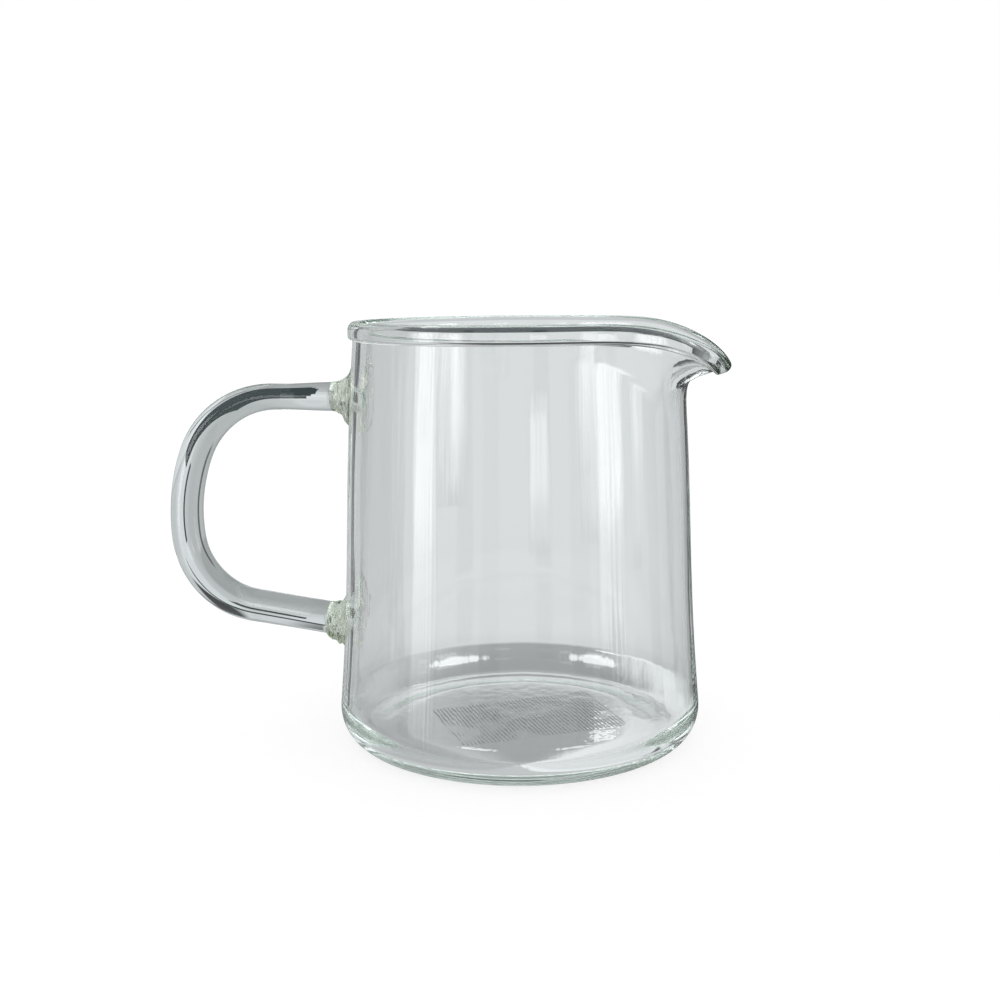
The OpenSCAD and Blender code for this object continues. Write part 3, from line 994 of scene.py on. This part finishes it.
def white_room():
    """The world: plain white for the camera and the floor, and the quiet room for the glass."""
    world = bpy.data.worlds.new("white_room")
    bpy.context.scene.world = world
    world.use_nodes = True
    tree = world.node_tree
    tree.nodes.clear()
    direction = add_node(tree, "ShaderNodeTexCoord").outputs["Generated"]
    axes = add_node(tree, "ShaderNodeSeparateXYZ", Vector=direction).outputs
    ray, straight, thrown, two = ray_kinds(tree)
    rise, turn = axes["Z"], maths(tree, "ARCTAN2", axes["Y"], axes["X"])

    room = backdrop(tree, rise, turn, straight, two)
    room = with_flags(tree, room, rise, turn, straight, thrown, two)
    room = with_lamps(tree, room, direction, both(tree, straight, inverse(tree, two)))
    room = both(tree, room, ramp(tree, ray["Ray Depth"], *LONG_PATH))
    outside = maths(tree, "SUBTRACT", inverse(tree, straight), thrown)
    room = dimmed(tree, room, outside, step_of_turn(tree, turn, *MIRRORED_DIM))
    right = band_of_turn(tree, turn, *MIRRORED_RIGHT)
    room = dimmed(tree, room, both(tree, outside, right), MIRRORED_RIGHT_DIM)

    quiet = add_node(tree, "ShaderNodeBackground", Color=ROOM_COLOUR, Strength=room)
    white = add_node(tree, "ShaderNodeBackground", Color=WHITE, Strength=1.0)
    white_rays = brighter(tree, ray["Is Camera Ray"], ray["Is Diffuse Ray"])
    pick = add_node(
        tree, "ShaderNodeMixShader",
        Fac=white_rays, i1=quiet.outputs["Background"], i2=white.outputs["Background"],
    )
    add_node(tree, "ShaderNodeOutputWorld", Surface=pick.outputs["Shader"])
    return world


print("the world", white_room().name, "has", len(EDGE_FLAGS), "edge flags and", len(LAMPS), "lamps")

# %% [markdown]
# ## Dark cards
# A photographer gives glass its dark lines with black cards, held out of the picture. These do the
# same. One lies on the table behind the cup. Only light that the rim bends down steeply meets it,
# so the crown of the rim is drawn dark and the wall below it isn't. The others stand behind the
# handle and draw the dark streaks in its solid rod. Nothing else sees them, and they cast no
# shadow.

# %% Cards
STEEP_FROM_Z, STEEP_FROM_R = 84.0, 40.0
STANDING_CARD_SLOPE = 48
SLOPE_SOFT = 0.004
CARD_COLOUR, CARD_GLOW = (0.8, 1.1, 1.16, 1), 0.05
# how many faces of glass the light has crossed, whether the cards stand, and their corners in mm
CARDS = (
    ("table_card", 4.0, False, (((-130, 66, -1), (110, 455, -1)),)),
    ("rod_cards", 2.0, True, (
        ((-90, 40, 55), (-62, 40, 80.5)),
        ((-62, 40, 57.5), (-60.8, 40, 76.5)),
        ((-60.8, 40, 61), (-59.8, 40, 73)),
        ((-103, 60, 33), (-99.5, 60, 54)),
        ((-87, 60, 31), (-62, 60, 35)),
        ((-91, 60, 21), (-70, 60, 25)),
    )),
)


def table_card_slope(tree):
    """Sine of the slope up from this spot to high on the cup's other side: the rim's light is
    steeper, and light through the plain wall isn't."""
    spot = add_node(tree, "ShaderNodeNewGeometry").outputs["Position"]
    flat = add_node(tree, "ShaderNodeVectorMath", {"operation": "MULTIPLY"}, i0=spot, i1=(1, 1, 0))
    away = add_node(
        tree, "ShaderNodeVectorMath", {"operation": "LENGTH"}, i0=flat.outputs["Vector"],
    )
    level = maths(tree, "ADD", away.outputs["Value"], STEEP_FROM_R * MM)
    way = maths(tree, "SQRT", maths(tree, "MULTIPLY_ADD", level, level, (STEEP_FROM_Z * MM) ** 2))
    return maths(tree, "DIVIDE", STEEP_FROM_Z * MM, way)


def card_material(name, faces, upright):
    """Black for light that crossed that many faces of glass, if it meets the card steeply enough."""
    material, tree = new_material(name)
    ray, straight, _, _ = ray_kinds(tree)
    seen = both(tree, straight, maths(tree, "COMPARE", ray["Transmission Depth"], faces, 0.5))
    facing = add_node(tree, "ShaderNodeLayerWeight", Blend=0.5).outputs["Facing"]
    slope = sine(STANDING_CARD_SLOPE) if upright else table_card_slope(tree)
    steeper = maths(tree, "SUBTRACT", inverse(tree, facing), slope)
    seen = both(tree, seen, ramp(tree, steeper, 0.0, SLOPE_SOFT, 0.0, 1.0))
    clear = add_node(tree, "ShaderNodeBsdfTransparent", Color=WHITE)
    black = add_node(tree, "ShaderNodeEmission", Color=CARD_COLOUR, Strength=CARD_GLOW)
    pick = add_node(
        tree, "ShaderNodeMixShader",
        Fac=seen, i1=clear.outputs["BSDF"], i2=black.outputs["Emission"],
    )
    add_node(tree, "ShaderNodeOutputMaterial", Surface=pick.outputs["Shader"])
    return material


def quads(*corners):
    """Fills a mesh with flat cards. A card is two opposite corners, and it lies level or stands."""
    def fill(bm):
        for (x0, y0, z0), (x1, y1, z1) in corners:
            if z0 == z1:
                points = ((x0, y0, z0), (x1, y0, z0), (x1, y1, z0), (x0, y1, z0))
            else:
                points = ((x0, y0, z0), (x1, y1, z0), (x1, y1, z1), (x0, y0, z1))
            bm.faces.new([bm.verts.new(Vector(p) * MM) for p in points])
    return fill


def out_of_sight(thing):
    """Keeps a stage piece from the camera, from matt surfaces and from casting a shadow."""
    thing.visible_camera = thing.visible_diffuse = thing.visible_shadow = False


for name, faces, upright, corners in CARDS:
    card = new_piece(name, quads(*corners))
    card.data.materials.append(card_material(name, faces, upright))
    card.visible_glossy = False
    out_of_sight(card)

# %% [markdown]
# ## Soft boxes
# The tall bright streaks on the cup are soft boxes that stand to its left and right, mirrored in
# its faces. Each is a glowing sheet with soft, uneven sides and ragged ends, as the blown wall
# draws them out, and it is fainter low down. Only mirrored light sees them: seen through the glass
# from the other side of the cup, they would be plain white sheets.

# %% The light of a soft box
BOX_GLOW = 10.0
STREAK_SCALE, STREAK_DETAIL, RAGGED = 11.0, 3.0, 0.35
# soft steps across the box and up it, from 0 to 1
BOX_LEFT, BOX_RIGHT = (0.0, 0.14, 0.0, 1.0), (0.86, 1.0, 1.0, 0.0)
BOX_LOW, BOX_HIGH = (0.02, 0.14, 0.0, 1.0), (0.9, 1.0, 1.0, 0.0)
BOX_FADE, BOX_STREAKS = (0.18, 0.46, 0.4, 1.0), (0.3, 0.6, 0.55, 1.0)
SECOND_MIRROR_DIM = 0.8


def box_light():
    """Glow that is soft at its sides, ragged at its ends and streaked along, for mirrored light."""
    material, tree = new_material("box_light")
    place = add_node(tree, "ShaderNodeTexCoord").outputs["UV"]
    spot = add_node(tree, "ShaderNodeSeparateXYZ", Vector=place).outputs
    across, along = spot["X"], spot["Y"]
    box = add_node(tree, "ShaderNodeObjectInfo").outputs
    streaks = add_node(
        tree, "ShaderNodeTexNoise", {"noise_dimensions": "1D"},
        W=maths(tree, "ADD", across, box["Random"]), Scale=STREAK_SCALE, Detail=STREAK_DETAIL,
    ).outputs["Fac"]
    uneven = both(tree, maths(tree, "SUBTRACT", streaks, 0.5), RAGGED)
    ragged = maths(tree, "ADD", along, uneven)
    light = both(
        tree,
        both(tree, ramp(tree, across, *BOX_LEFT), ramp(tree, across, *BOX_RIGHT)),
        ramp(tree, ragged, *BOX_LOW),
        ramp(tree, ragged, *BOX_HIGH),
        ramp(tree, along, *BOX_FADE),
        ramp(tree, streaks, *BOX_STREAKS),
        box["Color"],
    )
    times_mirrored = add_node(tree, "ShaderNodeLightPath").outputs["Glossy Depth"]
    again = maths(tree, "GREATER_THAN", times_mirrored, 1.5)
    light = both(tree, dimmed(tree, light, again, SECOND_MIRROR_DIM), BOX_GLOW)
    glow = add_node(tree, "ShaderNodeEmission", Color=WHITE, Strength=light)
    clear = add_node(tree, "ShaderNodeBsdfTransparent", Color=WHITE)
    pick = add_node(
        tree, "ShaderNodeMixShader",
        Fac=maths(tree, "GREATER_THAN", times_mirrored, 0.5),
        i1=clear.outputs["BSDF"], i2=glow.outputs["Emission"],
    )
    add_node(tree, "ShaderNodeOutputMaterial", Surface=pick.outputs["Shader"])
    return material


BOX_LIGHT = box_light()
print("made", BOX_LIGHT.name)

# %% Soft boxes
BOX_DISTANCE, NARROW_BOX_DISTANCE = 300.0, 330.0
# turn from the camera and half width in degrees, lower and upper edge, strength, and distance
SOFT_BOXES = (
    ("long_box_left", -60, 8.5, -60, 160, 4.2, BOX_DISTANCE),
    ("short_box_left", -37.0, 5.2, 36, 160, 3.0, BOX_DISTANCE),
    ("long_box_right", 58.5, 10, -33, 160, 4.6, BOX_DISTANCE),
    ("short_box_right", 41, 4.5, 52, 160, 1.6, BOX_DISTANCE),
    ("side_box_right", 80, 4, 0, 160, 2.4, BOX_DISTANCE),
    ("narrow_box", 13.2, 6.5, 10, 100, 3.0, NARROW_BOX_DISTANCE),
)
BOX_CORNERS = ((0, 0), (1, 0), (1, 1), (0, 1))


def soft_box(name, turn, half_width, low, high, strength, distance):
    """A tall glowing sheet that faces the cup, turned that far round it from the camera."""
    width, height = 2 * distance * math.tan(math.radians(half_width)), high - low
    way = CAMERA_TURN + math.radians(turn - 90)
    out = Vector((math.cos(way), math.sin(way), 0))
    side = Vector((-out.y, out.x, 0))
    middle = out * distance + Vector((0, 0, (low + high) / 2))

    def fill(bm):
        uv = bm.loops.layers.uv.new("UVMap")
        points = [
            middle + side * width * (u - 0.5) + Vector((0, 0, height * (v - 0.5)))
            for u, v in BOX_CORNERS
        ]
        face = bm.faces.new([bm.verts.new(p * MM) for p in points])
        for loop, corner in zip(face.loops, BOX_CORNERS):
            loop[uv].uv = corner

    sheet = new_piece(name, fill)
    sheet.data.materials.append(BOX_LIGHT)
    sheet.color = (strength / BOX_GLOW, strength / BOX_GLOW, strength / BOX_GLOW, 1)
    out_of_sight(sheet)
    return sheet


for box in SOFT_BOXES:
    soft_box(*box)
print("placed", len(SOFT_BOXES), "soft boxes")

# %% [markdown]
# ## Picture settings
# The Standard view shows a colour as it is written. Light crosses many faces of glass on its way,
# so it is given enough bounces.

# %% Finish
BOUNCES, CLEAR_SHEETS = 256, 16

scene = bpy.context.scene
scene.view_settings.view_transform = "Standard"
scene.cycles.max_bounces = BOUNCES
scene.cycles.transmission_bounces = BOUNCES
scene.cycles.glossy_bounces = BOUNCES
scene.cycles.transparent_max_bounces = CLEAR_SHEETS
